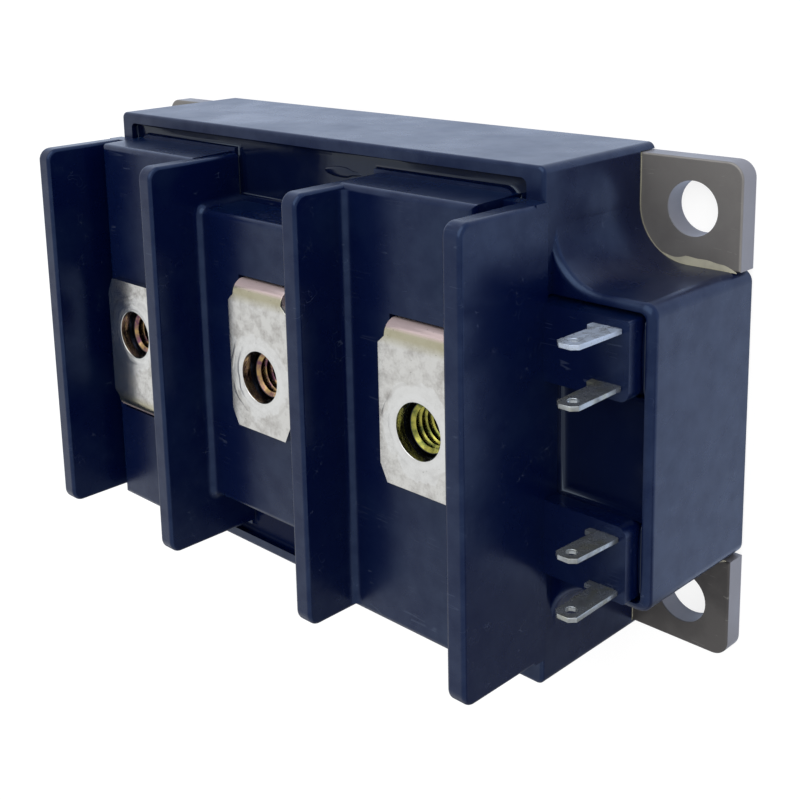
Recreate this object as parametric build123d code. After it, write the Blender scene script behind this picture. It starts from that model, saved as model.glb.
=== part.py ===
from build123d import *
from math import radians, tan
import os

# Half-bridge power module with three screw terminals and four signal tabs.
# Units are millimetres. The origin is the centre of the base plate's underside,
# +Z points to the terminals, +X to the end with the signal tabs.

# Base plate
PLATE_LENGTH = 105.5
PLATE_THICKNESS = 3.0
PLATE_CORNER_RADIUS = 2.0
PLATE_EDGE_ROUND = 0.25
EAR_LENGTH = 13.1
HOLE_DIAMETER = 6.5
HOLE_FROM_END = 6.25
HOLE_FROM_SIDE = 5.85

# Case frame
CASE_WIDTH = 61.4
CASE_HEIGHT = 21.4
CASE_LONG_WALL = 1.5
CASE_END_WALL = 2.4
CASE_CORNER_RADIUS = 0.9
CASE_TOP_ROUND = 0.45
CASE_UNDERSIDE = 0.3
SKIRT_THICKNESS = 0.75
SKIRT_CLEARANCE = 0.1
CAVITY_CORNER_RADIUS = 0.8
BLOCK_WIDTH = 34.8
BLOCK_TOP_DROP = 1.4
BLOCK_WALL = 1.0
BLOCK_CORNER_RADIUS = 1.5
BLOCK_TOP_ROUND = 0.9
BLOCK_ROOF = 2.4
CUTOUT_RADIUS = 6.4
GLUE_THICKNESS = 0.2

# Terminal block: deck, plateaus, ribs, end ledges and signal pads
DECK_GROOVE = 1.55
DECK_CORNER_RADIUS = 2.0
DECK_TOP_DROP = 0.4
DECK_THICKNESS = 3.4
NOTCH_LIP = 0.6
PLATEAU_HEIGHT = 7.0
PLATEAU_SET_BACK = 0.4
MIDDLE_PLATEAU_SET_BACK = 6.65
PLATEAU_DRAFT = 1.5
PLATEAU_ROUND = 0.8
RIB_THICKNESS = 2.6
RIB_HEIGHT = 7.7
RIB_SET_BACK = 0.75
RIB_CORNER_RADIUS = 1.7
RIB_EDGE_ROUND = 0.5
RIB_ROOT_RADIUS = 1.1
RIB_FROM_MIDWAY = 0.1
END_RIB_OVERHANG = 0.55
LEDGE_THICKNESS = 2.0
END_WEB_CLEARANCE = 0.3
PAD_RISE = 0.6
PAD_OVER_GEL = 1.4
PAD_WIDTH = 8.85
PAD_SIDE_GAP = 0.55
PAD_END_GAP = 0.65
PAD_CORNER_RADIUS = 1.1
PAD_EDGE_ROUND = 0.3

# Power terminals and nuts
TERMINAL_FROM_CASE_END = 11.65
TERMINAL_THICKNESS = 1.4
OUTER_TERMINAL_WIDTH = 12.3
MIDDLE_TERMINAL_WIDTH = 11.5
TERMINAL_BEND_Y = 12.3
TERMINAL_END_Y = 7.65
TERMINAL_BEND_RADIUS = 1.9
TERMINAL_CORNER_WIDTH = 1.1
TERMINAL_CORNER_LENGTH = 2.2
TERMINAL_LEG_INSET = 1.0
TERMINAL_SHOULDER = 0.9
TERMINAL_HOLE = 6.9
TERMINAL_TAIL_WIDTH = 2.6
TERMINAL_FOOT_LENGTH = 4.0
SLOT_CLEARANCE = 0.35
NUT_ACROSS_FLATS = 10.0
NUT_HEIGHT = 5.0
NUT_BORE = 5.0
NUT_CHAMFER = 0.5
NUT_CLEARANCE = 0.15
SCREW_WELL_DIAMETER = 6.6
SCREW_WELL_DEPTH = 2.6

# Signal tabs
TAB_SET_BACK = 0.9
TAB_PAIR_FROM_EDGE = 4.25
TAB_SPACING = 6.2
TAB_WIDTH = 2.8
TAB_SHOULDER = 0.9
TAB_THICKNESS = 0.55
TAB_HEIGHT = 8.0
TAB_ROOT_HEIGHT = 1.0
TAB_TIP_BEVEL = 0.7
TAB_TAIL_WIDTH = 2.0
TAB_HOLE_DIAMETER = 1.3
TAB_HOLE_FROM_TIP = 1.6
LEAD_DIAMETER = 0.8
LEAD_BEND_RADIUS = 1.6
LEAD_DROP = 2.8
LEAD_OVER_WIRES = 1.95
LEAD_FROM_LEG = 2.4

# Fills
RESIN_DROP = 0.8
RESIN_GAP_IN_RECESS = 1.6
GEL_OVER_LEADS = 1.0

# Substrates, chips and wires
SOLDER_THICKNESS = 0.2
BACK_COPPER_THICKNESS = 0.3
CERAMIC_THICKNESS = 0.6
TRACK_THICKNESS = 0.3
SUBSTRATE_GAP = 2.0
SUBSTRATE_END_GAP = 3.25
SUBSTRATE_SIDE_GAP = 4.2
COPPER_MARGIN = 1.0
TRACK_GAP = 1.0
GATE_TRACK_WIDTH = 3.0
RETURN_TRACK_WIDTH = 9.0
CHIP_THICKNESS = 0.25
IGBT_SHARE_OF_WIDTH = 0.188
DIODE_SHARE_OF_WIDTH = 0.132
CHIP_GAP = 1.0
WIRE_THICKNESS = 0.4
WIRE_FOOT = 1.2
WIRE_RISE = 2.2
WIRE_REACH = 2.4
WIRE_PITCH = 1.8
WIRES_PER_CHIP = 3

# Levels and places that follow from the sizes above
PLATE_WIDTH = CASE_WIDTH - 2 * (SKIRT_THICKNESS + SKIRT_CLEARANCE)
HOLE_PITCH_X = PLATE_LENGTH - 2 * HOLE_FROM_END
HOLE_PITCH_Y = PLATE_WIDTH - 2 * HOLE_FROM_SIDE
CASE_LENGTH = PLATE_LENGTH - 2 * EAR_LENGTH
HALF_PLATE = PLATE_LENGTH / 2
HALF_CASE = CASE_LENGTH / 2
HALF_CAVITY = HALF_CASE - CASE_END_WALL
CAVITY_WIDTH = CASE_WIDTH - 2 * CASE_LONG_WALL
BLOCK_CAVITY_WIDTH = BLOCK_WIDTH - 2 * BLOCK_WALL
BLOCK_CAVITY_END = HALF_PLATE - BLOCK_WALL
HALF_DECK = HALF_CAVITY - DECK_GROOVE
DECK_WIDTH = CAVITY_WIDTH - 2 * DECK_GROOVE
OUTER_PLATEAU_WIDTH = DECK_WIDTH - 2 * PLATEAU_SET_BACK
MIDDLE_PLATEAU_WIDTH = OUTER_PLATEAU_WIDTH - 2 * MIDDLE_PLATEAU_SET_BACK
NOTCH_EDGE_Y = MIDDLE_PLATEAU_WIDTH / 2 + NOTCH_LIP
RIB_LENGTH = DECK_WIDTH - 2 * RIB_SET_BACK
TERMINAL_PITCH = HALF_CASE - TERMINAL_FROM_CASE_END
INNER_RIB_X = TERMINAL_PITCH / 2 + RIB_FROM_MIDWAY
HALF_NOTCH = INNER_RIB_X - RIB_THICKNESS / 4
END_RIB_OUTER = HALF_CASE + END_RIB_OVERHANG
END_RIB_X = END_RIB_OUTER - RIB_THICKNESS / 2
PAD_TOP = CASE_HEIGHT + PAD_RISE
PAD_END = BLOCK_CAVITY_END - PAD_END_GAP
PAD_OUTER_Y = BLOCK_CAVITY_WIDTH / 2 - PAD_SIDE_GAP
PAD_INNER_Y = PAD_OUTER_Y - PAD_WIDTH
FRAME_FOOT = PLATE_THICKNESS + GLUE_THICKNESS
BLOCK_HEIGHT = CASE_HEIGHT - BLOCK_TOP_DROP
DECK_TOP = CASE_HEIGHT - DECK_TOP_DROP
PLATEAU_TOP = DECK_TOP + PLATEAU_HEIGHT
RIB_TOP = PLATEAU_TOP + RIB_HEIGHT
DECK_UNDERSIDE = DECK_TOP - DECK_THICKNESS
LEDGE_TOP = CASE_HEIGHT + LEDGE_THICKNESS
BACK_COPPER_FLOOR = PLATE_THICKNESS + SOLDER_THICKNESS
CERAMIC_FLOOR = BACK_COPPER_FLOOR + BACK_COPPER_THICKNESS
TRACK_FLOOR = CERAMIC_FLOOR + CERAMIC_THICKNESS
TRACK_TOP = TRACK_FLOOR + TRACK_THICKNESS
CHIP_TOP = TRACK_TOP + CHIP_THICKNESS
SUBSTRATE_LENGTH = HALF_CAVITY - SUBSTRATE_GAP / 2 - SUBSTRATE_END_GAP
SUBSTRATE_WIDTH = CAVITY_WIDTH - 2 * SUBSTRATE_SIDE_GAP
SUBSTRATE_X = (SUBSTRATE_LENGTH + SUBSTRATE_GAP) / 2
IGBT_SIZE = IGBT_SHARE_OF_WIDTH * SUBSTRATE_WIDTH
DIODE_SIZE = DIODE_SHARE_OF_WIDTH * SUBSTRATE_WIDTH
RESIN_TOP = DECK_TOP - RESIN_DROP
RECESS_RESIN_TOP = RESIN_TOP - RESIN_GAP_IN_RECESS
TERMINAL_TOP = PLATEAU_TOP + TERMINAL_THICKNESS
TERMINAL_BEND_START = TERMINAL_BEND_Y - TERMINAL_BEND_RADIUS
TERMINAL_INNER_RADIUS = TERMINAL_BEND_RADIUS - TERMINAL_THICKNESS
TAB_FRONT_X = PAD_END - TAB_SET_BACK
TAB_X = TAB_FRONT_X - TAB_WIDTH / 2
TAB_PAIR_Y = PAD_OUTER_Y - TAB_PAIR_FROM_EDGE
LEAD_LEVEL = CHIP_TOP + WIRE_RISE + LEAD_OVER_WIRES
TAB_TAIL_END = LEAD_LEVEL + LEAD_DROP
GEL_TOP = TAB_TAIL_END + GEL_OVER_LEADS
PAD_FOOT = GEL_TOP + PAD_OVER_GEL
TAB_YS = [side * (TAB_PAIR_Y + half * TAB_SPACING / 2) for side in (1, -1) for half in (side, -side)]
MARGIN = 1.0
ROOT_EMBED = 0.1
NEAR = 0.01


def slab(x0, x1, y0, y1, z0, z1):
    """A rectangular block between two corners."""
    return Pos((x0 + x1) / 2, (y0 + y1) / 2, (z0 + z1) / 2) * Box(x1 - x0, y1 - y0, z1 - z0)


def patch(x0, x1, y0, y1):
    """A flat rectangle between two corners."""
    return Pos((x0 + x1) / 2, (y0 + y1) / 2) * Rectangle(x1 - x0, y1 - y0)


def prism(sketch, z0, z1):
    """A flat outline raised between two levels."""
    return Pos(0, 0, z0) * extrude(sketch, amount=z1 - z0)


def corners_at(sketch, x, y):
    """The corners of an outline at plus and minus the given place."""
    return [v for v in sketch.vertices() if abs(abs(v.X) - x) < NEAR and abs(abs(v.Y) - y) < NEAR]


# Base plate

def plate_outline(grow):
    """The plate from above. Its ends are set back between the ears, where the frame's blocks wrap them."""
    outline = RectangleRounded(PLATE_LENGTH + 2 * grow, PLATE_WIDTH + 2 * grow, PLATE_CORNER_RADIUS + grow)
    set_back = HALF_PLATE - BLOCK_WALL - SKIRT_CLEARANCE + grow
    half_gap = BLOCK_WIDTH / 2 + SKIRT_CLEARANCE - grow
    for side in (-1, 1):
        far = side * (HALF_PLATE + MARGIN)
        outline -= patch(min(side * set_back, far), max(side * set_back, far), -half_gap, half_gap)
    return outline


def make_base_plate():
    plate = prism(plate_outline(0), 0, PLATE_THICKNESS)
    rims = plate.edges().group_by(Axis.Z)
    plate = fillet(rims[0] + rims[-1], PLATE_EDGE_ROUND)
    for place in GridLocations(HOLE_PITCH_X, HOLE_PITCH_Y, 2, 2):
        plate -= place * Cylinder(HOLE_DIAMETER / 2, 4 * PLATE_THICKNESS)
    return plate


# Case frame

def case_outline():
    """The frame from above: a rectangle with a narrower block at each end and round inside corners."""
    outline = Rectangle(CASE_LENGTH, CASE_WIDTH) + Rectangle(PLATE_LENGTH, BLOCK_WIDTH)
    outline = fillet(corners_at(outline, HALF_CASE, BLOCK_WIDTH / 2), CUTOUT_RADIUS)
    outline = fillet(corners_at(outline, HALF_CASE, CASE_WIDTH / 2), CASE_CORNER_RADIUS)
    return fillet(corners_at(outline, HALF_PLATE, BLOCK_WIDTH / 2), BLOCK_CORNER_RADIUS)


def main_cavity():
    return RectangleRounded(2 * HALF_CAVITY, CAVITY_WIDTH, CAVITY_CORNER_RADIUS)


def recess_outline(x0):
    """The hollow of the tab end's block, from a place in the length to its end wall."""
    outline = patch(x0, BLOCK_CAVITY_END, -BLOCK_CAVITY_WIDTH / 2, BLOCK_CAVITY_WIDTH / 2)
    ends = [v for v in outline.vertices() if v.X > BLOCK_CAVITY_END - NEAR]
    return fillet(ends, CAVITY_CORNER_RADIUS)


def blind_pocket_outline():
    """The hollow cored out of the plain end's block from below."""
    half_width = BLOCK_CAVITY_WIDTH / 2
    return patch(-BLOCK_CAVITY_END, -HALF_CASE, -half_width, half_width)


def make_case_frame():
    """The moulded frame, with a skirt that wraps the plate's edges."""
    low = prism(case_outline(), CASE_UNDERSIDE, BLOCK_HEIGHT)
    low = fillet(low.edges().group_by(Axis.Z)[-1], BLOCK_TOP_ROUND)
    high = prism(RectangleRounded(CASE_LENGTH, CASE_WIDTH, CASE_CORNER_RADIUS), CASE_UNDERSIDE, CASE_HEIGHT)
    high = fillet(high.edges().group_by(Axis.Z)[-1], CASE_TOP_ROUND)
    frame = low + high
    frame -= prism(plate_outline(SKIRT_CLEARANCE), 0, FRAME_FOOT)
    frame -= prism(main_cavity() + recess_outline(HALF_CAVITY - MARGIN), 0, CASE_HEIGHT + MARGIN)
    frame -= prism(blind_pocket_outline(), 0, BLOCK_HEIGHT - BLOCK_ROOF)
    return frame


def make_adhesive_bead():
    """Glue between the plate and the frame's foot."""
    foot = case_outline() - main_cavity() - recess_outline(HALF_CAVITY - MARGIN) - blind_pocket_outline()
    return prism(foot & plate_outline(0), PLATE_THICKNESS, FRAME_FOOT)


# Terminal block

def deck_outline():
    """The deck from above, cut away on both long sides beside the middle plateau."""
    outline = RectangleRounded(2 * HALF_DECK, DECK_WIDTH, DECK_CORNER_RADIUS)
    for side in (-1, 1):
        near = side * NOTCH_EDGE_Y
        far = side * DECK_WIDTH
        outline -= patch(-HALF_NOTCH, HALF_NOTCH, min(near, far), max(near, far))
    return outline


def make_plateau(x0, x1, width):
    """A raised block that a terminal lies on, with drafted sides and a rounded upper edge."""
    foot = Pos(0, 0, DECK_UNDERSIDE) * patch(x0, x1, -width / 2, width / 2)
    body = extrude(foot, amount=PLATEAU_TOP - DECK_UNDERSIDE, taper=PLATEAU_DRAFT)
    return fillet(body.edges().group_by(Axis.Z)[-1], PLATEAU_ROUND)


def make_rib(x, foot_level):
    """A barrier wall with round upper corners and softened edges."""
    height = RIB_TOP - foot_level
    face = Plane.YZ * Pos(0, foot_level + height / 2) * Rectangle(RIB_LENGTH, height)
    wall = extrude(face, amount=RIB_THICKNESS / 2, both=True)
    tips = wall.edges().filter_by(Axis.X).group_by(Axis.Z)[-1]
    wall = fillet(tips, RIB_CORNER_RADIUS)
    above = [e for e in wall.edges() if e.center().Z > foot_level + MARGIN / 2]
    soft = [e for e in above if e.bounding_box().size.X < NEAR]
    return Pos(x, 0, 0) * fillet(soft, RIB_EDGE_ROUND)


def make_root_fillet(rib_x, side, width):
    """The hollow rounding between a rib and the plateau beside it, led on over the plateau's edges."""
    r = RIB_ROOT_RADIUS
    face_x = rib_x + side * RIB_THICKNESS / 2
    lean = tan(radians(PLATEAU_DRAFT))
    half_top = width / 2 - lean * (PLATEAU_TOP - DECK_UNDERSIDE)
    half_foot = width / 2 - lean * (DECK_TOP - DECK_UNDERSIDE)
    path = FilletPolyline(
        (face_x, -half_foot, DECK_TOP),
        (face_x, -half_top, PLATEAU_TOP),
        (face_x, half_top, PLATEAU_TOP),
        (face_x, half_foot, DECK_TOP),
        radius=PLATEAU_ROUND,
    )
    size = r + ROOT_EMBED
    middle = (r - ROOT_EMBED) / 2
    profile = Pos(middle, -side * middle) * Rectangle(size, size) - Pos(r, -side * r) * Circle(r)
    start = Plane(origin=path @ 0, x_dir=(side, 0, 0), z_dir=path % 0)
    hollow = sweep(start * profile, path=path)
    half = RIB_LENGTH / 2 - RIB_EDGE_ROUND
    return hollow & slab(face_x - 2 * r, face_x + 2 * r, -half, half, DECK_TOP, RIB_TOP)


def make_signal_pad(side):
    """One of the two raised pads that hold a pair of tabs, its corner towards the middle the rounder."""
    y0, y1 = sorted((side * PAD_INNER_Y, side * PAD_OUTER_Y))
    outline = patch(END_RIB_X, PAD_END, y0, y1)
    for y, radius in ((PAD_INNER_Y, PAD_CORNER_RADIUS), (PAD_OUTER_Y, PAD_EDGE_ROUND)):
        outline = fillet(corners_at(outline, PAD_END, y), radius)
    return prism(outline, PAD_FOOT, PAD_TOP)


def nut_pocket():
    """The hollow for one nut, with a well below it for the screw's end."""
    flats = NUT_ACROSS_FLATS + 2 * NUT_CLEARANCE
    hexagon = RegularPolygon(flats / 2, 6, major_radius=False)
    floor = PLATEAU_TOP - NUT_HEIGHT
    pocket = prism(hexagon, floor, PLATEAU_TOP + MARGIN)
    return pocket + prism(Circle(SCREW_WELL_DIAMETER / 2), floor - SCREW_WELL_DEPTH, floor)


def terminal_slot(width):
    """The slot through plateau and deck that a terminal's leg drops into."""
    outer = TERMINAL_BEND_Y + SLOT_CLEARANCE
    inner = TERMINAL_BEND_START - SLOT_CLEARANCE / 2
    half = width / 2 - TERMINAL_LEG_INSET + SLOT_CLEARANCE
    return slab(-half, half, inner, outer, DECK_UNDERSIDE - MARGIN, PLATEAU_TOP + MARGIN)


def make_terminal_block(tabs):
    """The moulded lid: deck, plateaus, ribs, end ledges and the pads that the tabs are moulded into."""
    block = prism(deck_outline(), DECK_UNDERSIDE, DECK_TOP)
    for side in (-1, 1):
        x0, x1 = sorted((side * INNER_RIB_X, side * HALF_DECK))
        block += make_plateau(x0, x1, OUTER_PLATEAU_WIDTH)
        x0, x1 = sorted((side * (HALF_DECK - MARGIN), side * END_RIB_OUTER))
        block += slab(x0, x1, -RIB_LENGTH / 2, RIB_LENGTH / 2, CASE_HEIGHT, LEDGE_TOP)
        block += make_rib(side * END_RIB_X, CASE_HEIGHT)
        block += make_rib(side * INNER_RIB_X, DECK_TOP)
        block += make_root_fillet(side * INNER_RIB_X, side, OUTER_PLATEAU_WIDTH)
        block += make_root_fillet(side * INNER_RIB_X, -side, MIDDLE_PLATEAU_WIDTH)
        block += make_signal_pad(side)
    block += make_plateau(-INNER_RIB_X, INNER_RIB_X, MIDDLE_PLATEAU_WIDTH)
    web = BLOCK_CAVITY_WIDTH / 2 - END_WEB_CLEARANCE
    block += slab(HALF_DECK - MARGIN, END_RIB_OUTER, -web, web, DECK_UNDERSIDE, LEDGE_TOP)
    for place, width in terminal_places():
        block -= place * nut_pocket()
        block -= place * terminal_slot(width)
    for tab in tabs:
        block -= tab
    return block


# Power terminals and nuts

def terminal_places():
    """Where each terminal stands, and its width. The left one is the right one turned half round."""
    return [
        (Pos(-TERMINAL_PITCH, 0, 0) * Rot(0, 0, 180), OUTER_TERMINAL_WIDTH),
        (Pos(0, 0, 0), MIDDLE_TERMINAL_WIDTH),
        (Pos(TERMINAL_PITCH, 0, 0), OUTER_TERMINAL_WIDTH),
    ]


def terminal_blank(width):
    """The strip from above: cut corners at its end, and shoulders down to the narrower leg."""
    half = width / 2
    leg = half - TERMINAL_LEG_INSET
    right = [
        (half - TERMINAL_CORNER_WIDTH, -TERMINAL_END_Y),
        (half, TERMINAL_CORNER_LENGTH - TERMINAL_END_Y),
        (half, TERMINAL_BEND_START - TERMINAL_SHOULDER),
        (leg, TERMINAL_BEND_START),
        (leg, TERMINAL_BEND_Y + MARGIN),
    ]
    left = [(-x, y) for x, y in reversed(right)]
    return make_face(Polyline(*right, *left, close=True))


def make_terminal(width):
    """A strip that lies on the plateau, rolls over its slot and runs down to a foot on the circuit."""
    leg_inner = TERMINAL_BEND_Y - TERMINAL_THICKNESS
    foot_end = leg_inner - TERMINAL_FOOT_LENGTH
    foot_top = TRACK_TOP + TERMINAL_THICKNESS
    side_view = make_face(Polyline(
        (-TERMINAL_END_Y, PLATEAU_TOP),
        (-TERMINAL_END_Y, TERMINAL_TOP),
        (TERMINAL_BEND_Y, TERMINAL_TOP),
        (TERMINAL_BEND_Y, TRACK_TOP),
        (foot_end, TRACK_TOP),
        (foot_end, foot_top),
        (leg_inner, foot_top),
        (leg_inner, PLATEAU_TOP),
        close=True,
    ))
    outer = [v for v in side_view.vertices() if v.X > TERMINAL_BEND_Y - NEAR]
    side_view = fillet(outer, TERMINAL_BEND_RADIUS)
    inner = [v for v in side_view.vertices() if abs(v.X - leg_inner) < NEAR and foot_top - NEAR < v.Y]
    side_view = fillet(inner, TERMINAL_INNER_RADIUS)
    strip = extrude(Plane.YZ * side_view, amount=width / 2, both=True)
    strip &= prism(terminal_blank(width), 0, TERMINAL_TOP + MARGIN)
    strip -= Pos(0, 0, TERMINAL_TOP) * Cylinder(TERMINAL_HOLE / 2, 4 * TERMINAL_THICKNESS)
    tail_side = TERMINAL_LEG_INSET + TERMINAL_TAIL_WIDTH - width / 2
    return strip - slab(tail_side, width, -width, 2 * width, 0, DECK_UNDERSIDE)


def make_nut():
    """A hexagon nut with its upper and lower corners turned off."""
    floor = PLATEAU_TOP - NUT_HEIGHT
    nut = prism(RegularPolygon(NUT_ACROSS_FLATS / 2, 6, major_radius=False), floor, PLATEAU_TOP)
    reach = NUT_ACROSS_FLATS / 2 + MARGIN
    low = Pos(0, 0, floor) * Cylinder(reach, NUT_HEIGHT, align=(Align.CENTER, Align.CENTER, Align.MIN))
    rims = low.edges().filter_by(GeomType.CIRCLE)
    turned = chamfer(rims, NUT_CHAMFER, NUT_CHAMFER + MARGIN)
    return (nut & turned) - Pos(0, 0, PLATEAU_TOP) * Cylinder(NUT_BORE / 2, 4 * NUT_HEIGHT)


# Signal tabs and leads

def make_tab(y):
    """A plug-on tab: pierced blade with a bevelled tip, a shoulder on its back edge and a moulded-in tail."""
    back = TAB_FRONT_X - TAB_WIDTH
    root_top = PAD_TOP + TAB_ROOT_HEIGHT
    tip = PAD_TOP + TAB_HEIGHT
    blade = patch(back, TAB_FRONT_X, PAD_TOP, tip)
    blade = chamfer([v for v in blade.vertices() if v.Y > tip - NEAR], TAB_TIP_BEVEL)
    blade += patch(back - TAB_SHOULDER, TAB_FRONT_X, PAD_TOP, root_top)
    blade += patch(TAB_X - TAB_TAIL_WIDTH / 2, TAB_X + TAB_TAIL_WIDTH / 2, TAB_TAIL_END, PAD_TOP)
    blade -= Pos(TAB_X, tip - TAB_HOLE_FROM_TIP) * Circle(TAB_HOLE_DIAMETER / 2)
    return Pos(0, y, 0) * extrude(Plane.XZ * blade, amount=TAB_THICKNESS / 2, both=True)


def make_lead(y, x_end):
    """A wire from a tab's tail, along the inside past the terminals' legs and down to a track."""
    leg_side = TERMINAL_BEND_Y if abs(y) > TAB_PAIR_Y else TERMINAL_BEND_Y - TERMINAL_THICKNESS
    outward = 1 if abs(y) > TAB_PAIR_Y else -1
    y_end = (leg_side + outward * LEAD_FROM_LEG) * (1 if y > 0 else -1)
    path = FilletPolyline(
        (TAB_X, y, TAB_TAIL_END),
        (TAB_X, y, LEAD_LEVEL),
        (x_end, y_end, LEAD_LEVEL),
        (x_end, y_end, TRACK_TOP),
        radius=LEAD_BEND_RADIUS,
    )
    section = Plane(origin=(TAB_X, y, TAB_TAIL_END), z_dir=(0, 0, -1)) * Circle(LEAD_DIAMETER / 2)
    return sweep(section, path=path)


# Substrates, chips and bond wires. The left group is the right group turned half round.

def substrate_layer(inset, z0, z1):
    """One full layer of the right-hand substrate."""
    half_length = SUBSTRATE_LENGTH / 2 - inset
    half_width = SUBSTRATE_WIDTH / 2 - inset
    return Pos(SUBSTRATE_X, 0, 0) * slab(-half_length, half_length, -half_width, half_width, z0, z1)


def track_edges():
    """Where the return, main and gate tracks begin and end along the right-hand substrate."""
    start = SUBSTRATE_X - SUBSTRATE_LENGTH / 2 + COPPER_MARGIN
    end = SUBSTRATE_X + SUBSTRATE_LENGTH / 2 - COPPER_MARGIN
    main_start = start + RETURN_TRACK_WIDTH + TRACK_GAP
    main_end = end - GATE_TRACK_WIDTH - TRACK_GAP
    return [
        (start, start + RETURN_TRACK_WIDTH),
        (main_start, main_end),
        (end - GATE_TRACK_WIDTH, end),
    ]


def make_tracks():
    """The copper circuit on top of the right-hand ceramic."""
    half_width = SUBSTRATE_WIDTH / 2 - COPPER_MARGIN
    return [slab(x0, x1, -half_width, half_width, TRACK_FLOOR, TRACK_TOP) for x0, x1 in track_edges()]


def chip_places():
    """The size and place of each chip on the right-hand main track, clear of the terminal's foot."""
    x0, x1 = track_edges()[1]
    y = COPPER_MARGIN + CHIP_GAP - SUBSTRATE_WIDTH / 2
    places = []
    for size in (IGBT_SIZE, DIODE_SIZE, IGBT_SIZE):
        places.append((size, (x0 + x1) / 2, y + size / 2))
        y += size + CHIP_GAP
    last = SUBSTRATE_WIDTH / 2 - COPPER_MARGIN - CHIP_GAP - DIODE_SIZE / 2
    places.append((DIODE_SIZE, (x0 + x1) / 2, last))
    return places


def make_chip(size, x, y):
    half = size / 2
    return slab(x - half, x + half, y - half, y + half, TRACK_TOP, CHIP_TOP)


def make_wire(x_chip, x_track, y):
    """One wire bridge, flat where it is welded to the chip and to the return track."""
    t = WIRE_THICKNESS
    low = TRACK_TOP
    high = CHIP_TOP
    peak = high + WIRE_RISE
    span = x_chip - x_track
    left_top = x_track + WIRE_FOOT + span / 4
    right_top = x_chip - WIRE_FOOT - span / 4
    outline = make_face(Polyline(
        (x_track, low),
        (x_track + WIRE_FOOT, low),
        (left_top, peak - t),
        (right_top, peak - t),
        (x_chip - WIRE_FOOT, high),
        (x_chip, high),
        (x_chip, high + t),
        (x_chip - WIRE_FOOT + t / 2, high + t),
        (right_top + t / 2, peak),
        (left_top - t / 2, peak),
        (x_track + WIRE_FOOT - t / 2, low + t),
        (x_track, low + t),
        close=True,
    ))
    return Pos(0, y, 0) * extrude(Plane.XZ * outline, amount=t / 2, both=True)


def make_wires():
    """The wire bridges of the right-hand substrate, a row on each chip."""
    x_track = track_edges()[0][1] - WIRE_REACH
    wires = []
    for size, x, y in chip_places():
        for index in range(WIRES_PER_CHIP):
            offset = (index - (WIRES_PER_CHIP - 1) / 2) * WIRE_PITCH
            wires.append(make_wire(x, x_track, y + offset))
    return wires


# Fills

def fill_outline():
    return main_cavity() + recess_outline(HALF_CAVITY - MARGIN)


def cut_all(body, tools):
    for tool in tools:
        body -= tool
    return body


def make_gel(buried):
    """The soft fill over the chips."""
    return cut_all(prism(fill_outline(), PLATE_THICKNESS, GEL_TOP), buried)


def make_resin(buried):
    """The hard potting over the gel, level round the deck and lower in the tab recess."""
    fill = prism(fill_outline(), GEL_TOP, RECESS_RESIN_TOP)
    fill += prism(main_cavity(), RECESS_RESIN_TOP, RESIN_TOP)
    return cut_all(fill, buried)


# The whole module

def make_parts():
    """Every piece by name."""
    half_turn = Rot(0, 0, 180)
    parts = {"base_plate": make_base_plate(), "case_frame": make_case_frame()}
    parts["adhesive_bead"] = make_adhesive_bead()

    sides = (("right", Rot(0, 0, 0)), ("left", half_turn))
    tracks = make_tracks()
    wires = make_wires()
    for name, turn in sides:
        solder = substrate_layer(COPPER_MARGIN, PLATE_THICKNESS, BACK_COPPER_FLOOR)
        parts["plate_solder_" + name] = turn * solder
        parts["back_copper_" + name] = turn * substrate_layer(COPPER_MARGIN, BACK_COPPER_FLOOR, CERAMIC_FLOOR)
        parts["substrate_" + name] = turn * substrate_layer(0, CERAMIC_FLOOR, TRACK_FLOOR)
        parts["copper_tracks_" + name] = Compound(children=[turn * track for track in tracks])
        parts["bond_wires_" + name] = Compound(children=[turn * wire for wire in wires])
    numbers = {IGBT_SIZE: 0, DIODE_SIZE: 0}
    for name, turn in sides:
        for size, x, y in chip_places():
            numbers[size] += 1
            kind = "igbt_chip_" if size == IGBT_SIZE else "diode_chip_"
            parts[kind + str(numbers[size])] = turn * make_chip(size, x, y)

    for (place, width), name in zip(terminal_places(), ("left", "middle", "right")):
        parts["power_terminal_" + name] = place * make_terminal(width)
        parts["nut_" + name] = place * make_nut()

    gate_x = sum(track_edges()[2]) / 2
    for number, y in enumerate(TAB_YS, start=1):
        parts["signal_tab_" + str(number)] = make_tab(y)
        x_end = gate_x if y > 0 else -gate_x
        parts["signal_lead_" + str(number)] = make_lead(y, x_end)

    tabs = [body for name, body in parts.items() if name.startswith("signal_tab")]
    parts["terminal_block"] = make_terminal_block(tabs)
    outside = ("base_plate", "case_frame", "adhesive_bead")
    buried = [body for name, body in parts.items() if name not in outside and not name.startswith("nut")]
    parts["silicone_gel"] = make_gel(buried)
    parts["potting_resin"] = make_resin(buried)
    return parts


if __name__ == "__main__":
    os.makedirs("parts", exist_ok=True)
    for part_name, solid in make_parts().items():
        export_step(solid, "parts/" + part_name + ".step")
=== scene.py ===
"""Dresses the half-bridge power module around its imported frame, in metres."""

import logging
from abc import ABC, abstractmethod
from contextlib import contextmanager
from dataclasses import dataclass
from enum import Enum
from math import cos, pi, radians, sin
from typing import Any, Callable, Iterator

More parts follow.
